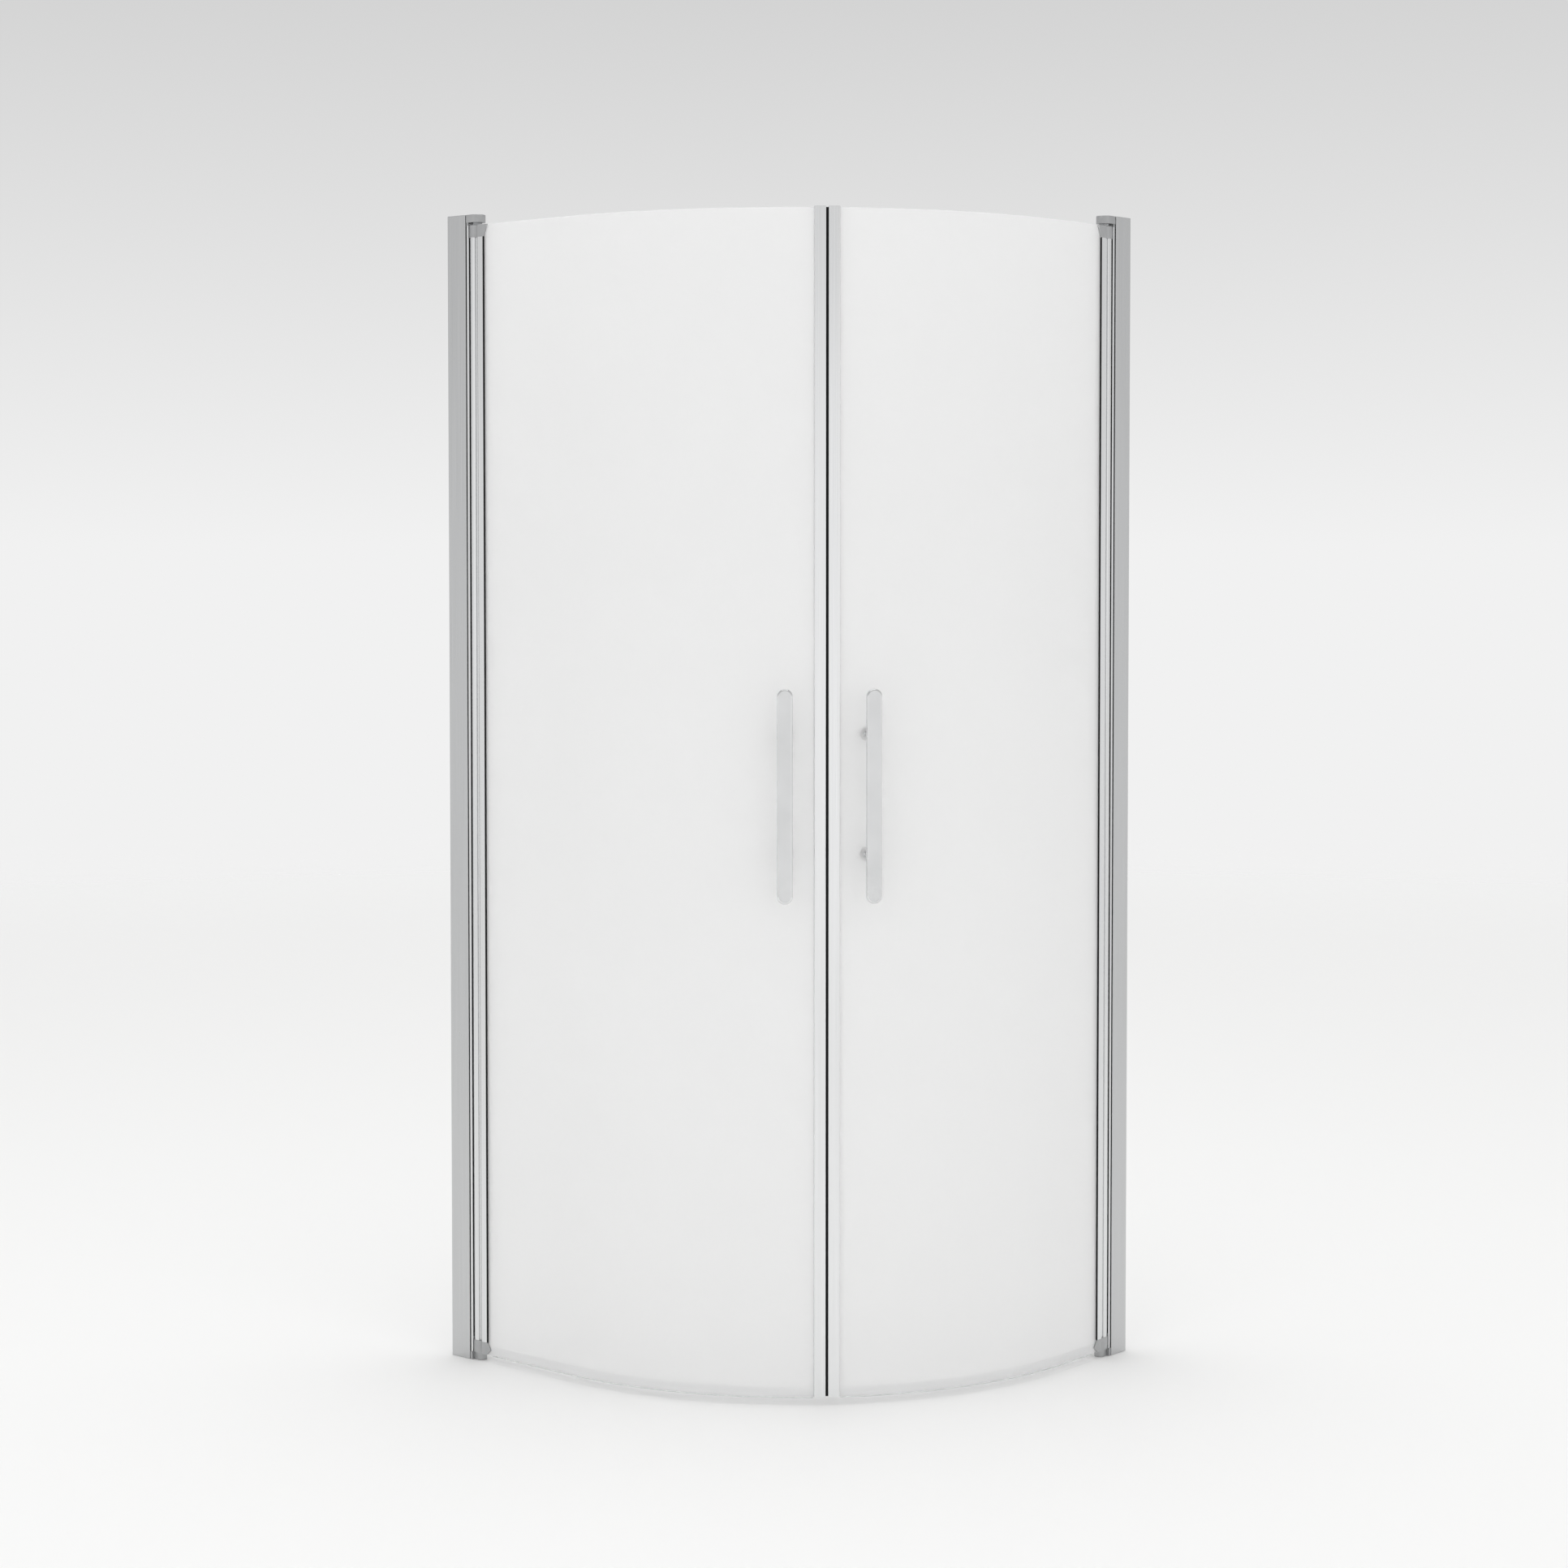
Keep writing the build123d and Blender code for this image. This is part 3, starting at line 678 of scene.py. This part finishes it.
def clampOutline(pivot, settings, cap=False):
    margin = settings["margin"] if cap else 0
    radius = settings["capRadius"] if cap else settings["barrel"]
    front, back = settings["front"] - margin, settings["back"] + margin
    neckFront = settings["neckFront"] - margin
    neckBack = settings["neckBack"] + margin
    start, end = settings["clampStart"] - margin, settings["clampEnd"] + margin
    glassFront, glassBack = settings["slotFront"], settings["slotBack"]
    if cap:
        glassFront = bendSettings["recess"] - settings["capSlot"]
        glassBack = bendSettings["recess"] + bendSettings["thickness"] + settings["capSlot"]
    slot = settings["slotStart"]
    frontAcross = sqrt(radius ** 2 - (pivot.y - neckFront) ** 2)
    backAcross = sqrt(radius ** 2 - (pivot.y - neckBack) ** 2)
    bm = bmesh.new()
    line = [
        (pivot.x + frontAcross, neckFront), (start, neckFront), (start, front), (end, front),
        (end, glassFront), (slot, glassFront), (slot, glassBack), (end, glassBack), (end, back),
        (start, back), (start, neckBack), (pivot.x + backAcross, neckBack),
    ]
    last = drawLine(bm, line)[-1]
    sweep = 360 - degrees(
        atan2(pivot.y - neckFront, frontAcross) - atan2(pivot.y - neckBack, backAcross)
    )
    drawArc(bm, last, pivot, sweep, steps=72)
    closeOutline(bm)
    roundCorners(bm, [line[2], line[8], line[9]], settings["corner"], segments=4)
    roundCorners(bm, [line[3], line[4], line[7]], settings["lip"], segments=3)
    roundCorners(bm, [line[0], line[1]], settings["corner"], segments=4)
    return bm


def makeDoorProfile(side, settings):
    low, high = nodeBox(side, "door_profile")
    pivot = nodeCentre(side, "top_bush")
    bm = lift(clampOutline(pivot, settings), low.z, high.z)
    bore = disc(pivot, settings["bore"], segments=64)
    flute = disc(settings["flute"], settings["fluteRadius"], segments=32)
    for tool in (bore, flute):
        lift(tool, low.z - overrun, high.z + overrun)
    bm = worked(bm, [joined([bore, flute])], "DIFFERENCE")
    setDown(bm, side, "DoorProfile", side + "_door",
            materials["doorProfile"], "door_profile")


def capWing(settings, waistZ, flareZ, reach, endZ):
    root = settings["slotStart"] - overlap
    front = settings["front"] - settings["margin"]
    back = bendSettings["recess"] - settings["capSlot"]
    corners = [(root, waistZ), (settings["wingWaist"], waistZ), (reach, flareZ)]
    if endZ != flareZ:
        corners.append((settings["clampEnd"], endZ))
    wing = polygon(corners + [(root, endZ)])
    roundCorners(wing, corners[1:3], settings["wingCorner"], segments=4)
    lift(wing, 0, back - front)
    softenEnds(wing, [back - front], settings["wingEdge"], segments=3)
    upright = Matrix.Translation((0, back, 0)) @ Matrix.Rotation(radians(90), 4, "X")
    return turned(wing, upright)


def makeCap(side, settings, name, top):
    low, high = nodeBox(side, name)
    pivot = nodeCentre(side, "top_bush")
    profileLow, profileHigh = nodeBox(side, "door_profile")
    z0, z1 = (profileHigh.z, high.z) if top else (low.z, profileLow.z)
    bm = lift(clampOutline(pivot, settings, True), z0, z1)
    seam, end = (z0, z1) if top else (z1, z0)
    if top:
        shoulder = [
            edge for edge in bm.edges
            if all(
                abs(v.co.z - end) < touch
                and abs((v.co.xy - pivot.xy).length - settings["capRadius"]) < 2 * touch
                for v in edge.verts
            )
        ]
        bmesh.ops.bevel(
            bm, geom=shoulder, offset=settings["shoulder"], offset_type="OFFSET", affect="EDGES",
            segments=1, profile=0.5, material=-1, clamp_overlap=True,
        )
    flare = end if top else seam - settings["wingHeight"]
    wing = capWing(settings, seam, flare, high.x, end)
    plugEnd = z0 - settings["plugLength"] if top else z1 + settings["plugLength"]
    plug = lift(disc(pivot, settings["plug"], segments=48), *sorted((plugEnd, (z0 + z1) / 2)))
    bm = worked(bm, [wing, plug], "UNION")
    bore = disc(pivot, settings["pinBore"], segments=48)
    if top:
        seat = disc(pivot, settings["collarRadius"], segments=48)
        lift(seat, end - settings["collarDepth"], end + overrun)
        lift(bore, end - settings["pinDepth"], end + overrun)
    else:
        seat = disc(pivot, settings["camRadius"], segments=48)
        lift(seat, end - overrun, nodeBox(side, "door_cam")[1].z)
        lift(bore, end, end + settings["pinDepth"])
    bm = worked(worked(bm, [seat], "DIFFERENCE"), [bore], "DIFFERENCE")
    setDown(bm, side, "TopCap" if top else "BottomCap", side + "_door",
            materials["grey_cast"], name)


for side in sides:
    makeWallProfile(side, channelSettings)
    makeCover(side, coverSettings)
    makePost(side, postSettings)
    makeTopArm(side, armSettings)
    makeBottomArm(side, armSettings)
    makeDoorProfile(side, clampSettings)
    makeCap(side, clampSettings, "top_cap", True)
    makeCap(side, clampSettings, "bottom_cap", False)
print("wall side ready")


# pieces that follow the glass: a section in depth and height, drawn out and then spun
def sweepSection(side, corners, start, endGap, rounding=()):
    bm = polygon(corners)
    for places, radius, segments in rounding:
        roundCorners(bm, places, radius, segments)
    turned(bm, Matrix.Translation((start, 0, 0)) @ Matrix(
        ((0, 0, 1, 0), (1, 0, 0, 0), (0, 1, 0, 0), (0, 0, 0, 1))
    ))
    centre = bendCentre(side)
    run = bmesh.ops.extrude_face_region(bm, geom=bm.faces[:])["geom"]
    moved = [item for item in run if isinstance(item, bmesh.types.BMVert)]
    bmesh.ops.translate(bm, vec=(centre.x - start, 0, 0), verts=moved)
    angle = radians(bendSettings["angle"]) - endGap / bendSettings["radius"]
    bmesh.ops.spin(
        bm, geom=run, cent=centre, axis=(0, 0, 1), angle=angle,
        steps=bendSettings["steps"], use_merge=False,
    )
    bmesh.ops.recalc_face_normals(bm, faces=bm.faces[:])
    return bm


glassSettings = {
    "start": 77.0, "endGap": 9.7, "arris": 0.7, "arrisSegments": 2, "holeRadius": 5.5,
}
handleSettings = {
    "height": 1018.0, "fromMeeting": 68.0, "spacing": 200.0, "length": 353.0, "width": 26.0,
    "thickness": 8.0, "projection": 53.0, "edge": 3.2, "backEdge": 0.8, "postRadius": 6.0,
    "washerRadius": 7.5, "washerHeight": 3.0, "washerGap": 0.3, "washerEdge": 0.9,
    "capRadius": 12.5, "capHeight": 6.0, "capEdge": 1.2,
}


def handlePlace(side, settings):
    angle = bendSettings["angle"] - degrees(settings["fromMeeting"] / bendSettings["radius"])
    return handleFrame(side, angle, settings["height"])


def handleRod(side, settings, radius, out0, out1, edge=0.0, inward=False):
    rods = []
    for sign in (-1, 1):
        rod = lift(disc((0, 0), radius, segments=56), out0, out1)
        if edge:
            softenEnds(rod, [out0 if inward else out1], edge, segments=4)
        rods.append(turned(rod, Matrix.Translation((sign * settings["spacing"] / 2, 0, 0))))
    return turned(joined(rods), handlePlace(side, settings))


def makeGlass(side, settings):
    low, high = nodeBox(side, "glass")
    front, thickness = bendSettings["recess"], bendSettings["thickness"]
    back = front + thickness
    corners = [(front, low.z), (back, low.z), (back, high.z), (front, high.z)]
    bm = sweepSection(
        side, corners, settings["start"], settings["endGap"],
        [(corners, settings["arris"], settings["arrisSegments"])],
    )
    holes = handleRod(
        side, handleSettings, settings["holeRadius"], -thickness - overrun, overrun
    )
    bm = worked(bm, [holes], "DIFFERENCE")
    setDown(bm, side, "BentGlass", side + "_door",
            materials["frosted_glass"], "glass")


# black glazing strips with a rounded lip that lies on the glass
gasketSettings = {
    "start": 78.0, "clampEnd": 86.7, "outerLip": 89.1, "innerLip": 89.1,
    "front": 1.7, "lipRise": 0.3, "back": 10.3, "round": 0.7,
}


def makeGaskets(side, settings):
    low, high = nodeBox(side, "outer_gasket")
    recess = bendSettings["recess"]
    glassBack = recess + bendSettings["thickness"]
    rows = [
        ("OuterGasket", "outer_gasket", recess, settings["front"],
         settings["front"] - settings["lipRise"], settings["outerLip"]),
        ("InnerGasket", "inner_gasket", glassBack, settings["back"],
         settings["back"] + settings["lipRise"], settings["innerLip"]),
    ]
    for name, node, glassFace, seat, crest, end in rows:
        bm = polygon([
            (settings["start"], glassFace), (settings["start"], seat), (settings["clampEnd"], seat),
            (settings["clampEnd"], crest), (end, crest), (end, glassFace),
        ])
        roundCorners(bm, [(end, crest)], settings["round"], segments=5)
        lift(bm, low.z, high.z)
        setDown(bm, side, name, side + "_door", materials["black_seal"], node)


# meeting profiles: X from the meeting line towards the hinge, Y outwards from the glass
meetingSettings = {
    "near": 2.0, "far": 21.5, "proud": 2.2, "back": -8.6, "slotStart": 9.2, "slotBack": -6.6,
    "slotFront": 0.15, "channelEnd": 7.4, "channelFront": -0.2, "channelBack": -5.8,
    "corner": 1.4, "lip": 0.4, "end": 0.4, "magnetStart": 0.08, "magnetEnd": 7.2,
    "magnetFront": -0.4, "magnetBack": -5.6, "magnetRound": 0.4,
}


def makeMeetingProfile(side, settings):
    low, high = nodeBox(side, "meeting_profile")
    near, far = settings["near"], settings["far"]
    proud, back = settings["proud"], settings["back"]
    bm = polygon([
        (near, proud), (far, proud), (far, settings["slotFront"]),
        (settings["slotStart"], settings["slotFront"]),
        (settings["slotStart"], settings["slotBack"]),
        (far, settings["slotBack"]), (far, back), (near, back), (near, settings["channelBack"]),
        (settings["channelEnd"], settings["channelBack"]),
        (settings["channelEnd"], settings["channelFront"]), (near, settings["channelFront"]),
    ])
    outside = [(near, proud), (far, proud), (far, back), (near, back)]
    lips = [
        (near, settings["channelBack"]), (near, settings["channelFront"]),
        (far, settings["slotFront"]), (far, settings["slotBack"]),
    ]
    roundCorners(bm, outside, settings["corner"], segments=6)
    roundCorners(bm, lips, settings["lip"], segments=3)
    lift(bm, low.z, high.z)
    softenEnds(bm, [low.z, high.z], settings["end"], segments=2)
    turned(bm, bendFrame(side, bendSettings["angle"]))
    setDown(bm, side, "MeetingProfile", side + "_door",
            materials["meetingStrip"], "meeting_profile")


def makeMagnet(side, settings):
    low, high = nodeBox(side, "magnet_seal")
    start, end = settings["magnetStart"], settings["magnetEnd"]
    front, back = settings["magnetFront"], settings["magnetBack"]
    corners = [(start, back), (end, back), (end, front), (start, front)]
    bm = polygon(corners)
    roundCorners(bm, [corners[0], corners[3]], settings["magnetRound"], segments=5)
    lift(bm, low.z, high.z)
    turned(bm, bendFrame(side, bendSettings["angle"]))
    setDown(bm, side, "MagnetSeal", side + "_door",
            materials["black_seal"], "magnet_seal")


# bottom seal: a clip round the edge of the glass, with a lip down to the floor
sealSettings = {
    "start": 99.5, "clipEnd": 22.5, "lipEnd": 1.6, "outer": -1.2, "wall": 1.1, "inner": 7.2,
    "webTop": 13.9, "web": 1.4, "clipTop": 30.0, "lipBottom": 0.8, "innerLipBottom": 5.0,
    "innerLip": 5.0, "round": 0.45, "roundSegments": 3, "lipOverlap": 0.2,
}


def makeBottomSeal(side, settings):
    recess = bendSettings["recess"]
    outer, inner = recess + settings["outer"], recess + settings["inner"]
    wall = settings["wall"]
    webBottom = settings["webTop"] - settings["web"]
    innerLip = recess + settings["innerLip"]
    top = settings["clipTop"]
    lipTop = webBottom + settings["lipOverlap"]
    corners = [
        (outer, webBottom), (outer, top), (outer + wall, top), (outer + wall, settings["webTop"]),
        (inner - wall, settings["webTop"]), (inner - wall, top), (inner, top), (inner, webBottom),
        (innerLip + wall, webBottom), (innerLip + wall, settings["innerLipBottom"]),
        (innerLip, settings["innerLipBottom"]), (innerLip, webBottom),
    ]
    clip = sweepSection(
        side, corners, settings["start"], settings["clipEnd"],
        [([corners[i] for i in (1, 2, 5, 6, 9, 10)], settings["round"], settings["roundSegments"])],
    )
    lipCorners = [
        (recess, settings["lipBottom"]), (recess + wall, settings["lipBottom"]),
        (recess + wall, lipTop), (recess, lipTop),
    ]
    lip = sweepSection(
        side, lipCorners, settings["start"], settings["lipEnd"],
        [(lipCorners[:2], settings["round"], settings["roundSegments"])],
    )
    bm = joined([clip, lip])
    setDown(bm, side, "BottomSeal", side + "_door",
            materials["clear_seal"], "bottom_seal")


for side in sides:
    makeGlass(side, glassSettings)
    makeGaskets(side, gasketSettings)
    makeMeetingProfile(side, meetingSettings)
    makeMagnet(side, meetingSettings)
    makeBottomSeal(side, sealSettings)
print("doors ready")


# handles: flat bars with round ends, on two round posts each
def makeHandle(side, settings):
    half = settings["width"] / 2
    run = settings["length"] / 2 - half
    bar = bmesh.new()
    start = drawLine(bar, [(-run, -half), (run, -half)])[-1]
    turn = drawArc(bar, start, (run, 0), 180, steps=40)
    back = drawLine(bar, [(-run, half)], turn)[-1]
    drawArc(bar, back, (-run, 0), 180, steps=40)
    closeOutline(bar)
    front, rear = settings["projection"], settings["projection"] - settings["thickness"]
    lift(bar, rear, front)
    softenEnds(bar, [front], settings["edge"], segments=8)
    softenEnds(bar, [rear], settings["backEdge"], segments=3)
    turned(bar, handlePlace(side, settings))
    door = side + "_door"
    setDown(bar, side, "HandleBar", door, materials["chrome"], "handle_bar")
    seat = settings["washerGap"] + settings["washerHeight"]
    posts = handleRod(side, settings, settings["postRadius"], seat, rear)
    setDown(posts, side, "HandlePosts", door, materials["chrome"], "handle_posts")
    washers = handleRod(
        side, settings, settings["washerRadius"], settings["washerGap"], seat, settings["washerEdge"]
    )
    setDown(washers, side, "HandleWashers", door, materials["chrome"], "handle_washers")
    glassBack = -bendSettings["thickness"] - settings["washerGap"]
    caps = handleRod(
        side, settings, settings["capRadius"], glassBack - settings["capHeight"], glassBack,
        settings["capEdge"], True,
    )
    setDown(caps, side, "HandleInnerCaps", door, materials["chrome"],
            "handle_inner_caps")


# pan-head screws with a hexagon socket, heads on the inner face of the channel
screwSettings = {
    "reach": 28.0, "headRadius": 3.8, "headHeight": 2.2, "headEdge": 0.7, "shank": 2.0,
    "shankOverlap": 0.2, "socket": 1.5, "socketDepth": 1.3,
}


def makeScrews(side, settings, node, name, heights):
    low, high = nodeBox(side, node)
    seat = high.y - settings["headHeight"]
    screws, sockets = [], []
    for height in heights:
        place = Matrix.Translation((settings["reach"], seat, height)) @ Matrix.Rotation(
            radians(-90), 4, "X"
        )
        top = settings["headHeight"]
        head = lift(disc((0, 0), settings["headRadius"], segments=40), 0, top)
        softenEnds(head, [top], settings["headEdge"], segments=4)
        shank = disc((0, 0), settings["shank"], segments=24)
        lift(shank, low.y - seat, settings["shankOverlap"])
        socket = disc((0, 0), settings["socket"], segments=6)
        lift(socket, top - settings["socketDepth"], top + overrun)
        screws.append(turned(joined([head, shank]), place))
        sockets.append(turned(socket, place))
    bm = worked(joined(screws), [joined(sockets)], "DIFFERENCE")
    setDown(bm, side, name, "wall_frame", materials["steel"], node)


screwHeights = {"clamp": (240, 1000, 1760), "arm": (18.6, 28.6, 1966.4, 1976.4)}


for side in sides:
    makeHandle(side, handleSettings)
    makeScrews(side, screwSettings, "clamp_screws", "ClampScrews", screwHeights["clamp"])
    makeScrews(side, screwSettings, "arm_screws", "ArmScrews", screwHeights["arm"])
print("handles ready")

# the pieces of the frame that stay as they are
keptNodes = {
    "top_bush": "grey_plastic", "bottom_bush": "grey_plastic", "fixed_cam": "black_plastic",
    "door_cam": "black_plastic", "side_seal": "black_seal", "top_pin": "steel",
    "bottom_pin": "steel", "handle_sleeves": "clear_seal", "handle_screws": "steel",
}
for side in sides:
    for name, slot in keptNodes.items():
        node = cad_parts[side + "_" + name]
        for holder in node.material_slots:
            holder.material = materials[slot]
print("kept nodes ready")


# floor, backdrop and lamps
floorSettings = {
    "radius": 10.0, "segments": 96, "drop": 0.0004, "colour": (0.88, 0.88, 0.875, 1),
    "roughness": 0.7, "fadeStart": 0.5,
}


def makeFloor(settings):
    bm = bmesh.new()
    bmesh.ops.create_circle(
        bm, cap_ends=True, radius=settings["radius"], segments=settings["segments"]
    )
    mesh = bpy.data.meshes.new("paleFloor")
    bm.to_mesh(mesh)
    bm.free()
    floor = bpy.data.objects.new("paleFloor", mesh)
    floor.location.z = -settings["drop"]
    scene.collection.objects.link(floor)
    material, shader = newMaterial("paleFloor", {
        "Base Color": settings["colour"], "Roughness": settings["roughness"],
    })
    place = addNode(material, "ShaderNodeTexCoord")
    mapping = addNode(material, "ShaderNodeMapping", Scale=[1 / settings["radius"]] * 3)
    reach = addNode(material, "ShaderNodeTexGradient", gradient_type="SPHERICAL")
    fade = addNode(material, "ShaderNodeMapRange")
    fade.interpolation_type = "SMOOTHSTEP"
    fade.inputs["From Max"].default_value = settings["fadeStart"]
    clear = addNode(material, "ShaderNodeBsdfTransparent")
    mix = addNode(material, "ShaderNodeMixShader")
    link(material, place.outputs["Object"], mapping.inputs["Vector"])
    link(material, mapping.outputs["Vector"], reach.inputs["Vector"])
    link(material, reach.outputs["Fac"], fade.inputs["Value"])
    link(material, fade.outputs["Result"], mix.inputs["Fac"])
    link(material, clear.outputs["BSDF"], mix.inputs[1])
    link(material, shader.outputs["BSDF"], mix.inputs[2])
    output = material.node_tree.nodes["Material Output"]
    link(material, mix.outputs["Shader"], output.inputs["Surface"])
    mesh.materials.append(material)


# the seen sky darkens upwards, while an even light falls on the object
worldSettings = {"low": 0.88, "high": 0.54, "rise": 0.26, "light": 1.0}


def makeWorld(settings):
    world = bpy.data.worlds.new("studio")
    world.use_nodes = True
    scene.world = world
    nodes, links = world.node_tree.nodes, world.node_tree.links
    seen = nodes["Background"]
    direction = nodes.new("ShaderNodeTexCoord")
    split = nodes.new("ShaderNodeSeparateXYZ")
    ramp = nodes.new("ShaderNodeMapRange")
    ramp.inputs["From Min"].default_value = 0.0
    ramp.inputs["From Max"].default_value = settings["rise"]
    ramp.inputs["To Min"].default_value = settings["low"]
    ramp.inputs["To Max"].default_value = settings["high"]
    links.new(direction.outputs["Generated"], split.inputs["Vector"])
    links.new(split.outputs["Z"], ramp.inputs["Value"])
    links.new(ramp.outputs["Result"], seen.inputs["Color"])
    light = nodes.new("ShaderNodeBackground")
    light.inputs["Color"].default_value = (1, 1, 1, 1)
    light.inputs["Strength"].default_value = settings["light"]
    path = nodes.new("ShaderNodeLightPath")
    first = nodes.new("ShaderNodeMath")
    second = nodes.new("ShaderNodeMath")
    first.operation = second.operation = "MAXIMUM"
    links.new(path.outputs["Is Camera Ray"], first.inputs[0])
    links.new(path.outputs["Is Glossy Ray"], first.inputs[1])
    links.new(first.outputs["Value"], second.inputs[0])
    links.new(path.outputs["Is Transmission Ray"], second.inputs[1])
    mix = nodes.new("ShaderNodeMixShader")
    links.new(second.outputs["Value"], mix.inputs["Fac"])
    links.new(light.outputs["Background"], mix.inputs[1])
    links.new(seen.outputs["Background"], mix.inputs[2])
    links.new(mix.outputs["Shader"], nodes["World Output"].inputs["Surface"])


lampSettings = {
    "topLamp": {"place": (0.3, -0.5, 4.2), "target": (0, 0, 0.6), "size": 3.0, "power": 26.0},
    "frontLamp": {"place": (4.3, -3.6, 1.1), "target": (0, 0, 1), "size": 2.2, "power": 1.5},
    "leftLamp": {"place": (-1.8, -4.4, 2.4), "target": (0, 0, 1), "size": 3.2, "power": 5.0},
    "rightLamp": {"place": (4.6, 0.6, 2.4), "target": (0, 0, 1), "size": 3.2, "power": 5.0},
}


def makeLamps(lamps):
    for name, settings in lamps.items():
        data = bpy.data.lights.new(name, "AREA")
        data.shape = "SQUARE"
        data.size = settings["size"]
        data.energy = settings["power"]
        lamp = bpy.data.objects.new(name, data)
        lamp.location = settings["place"]
        aim = Vector(settings["target"]) - Vector(settings["place"])
        lamp.rotation_euler = aim.to_track_quat("-Z", "Y").to_euler()
        scene.collection.objects.link(lamp)


makeFloor(floorSettings)
makeWorld(worldSettings)
makeLamps(lampSettings)
print("stage ready")
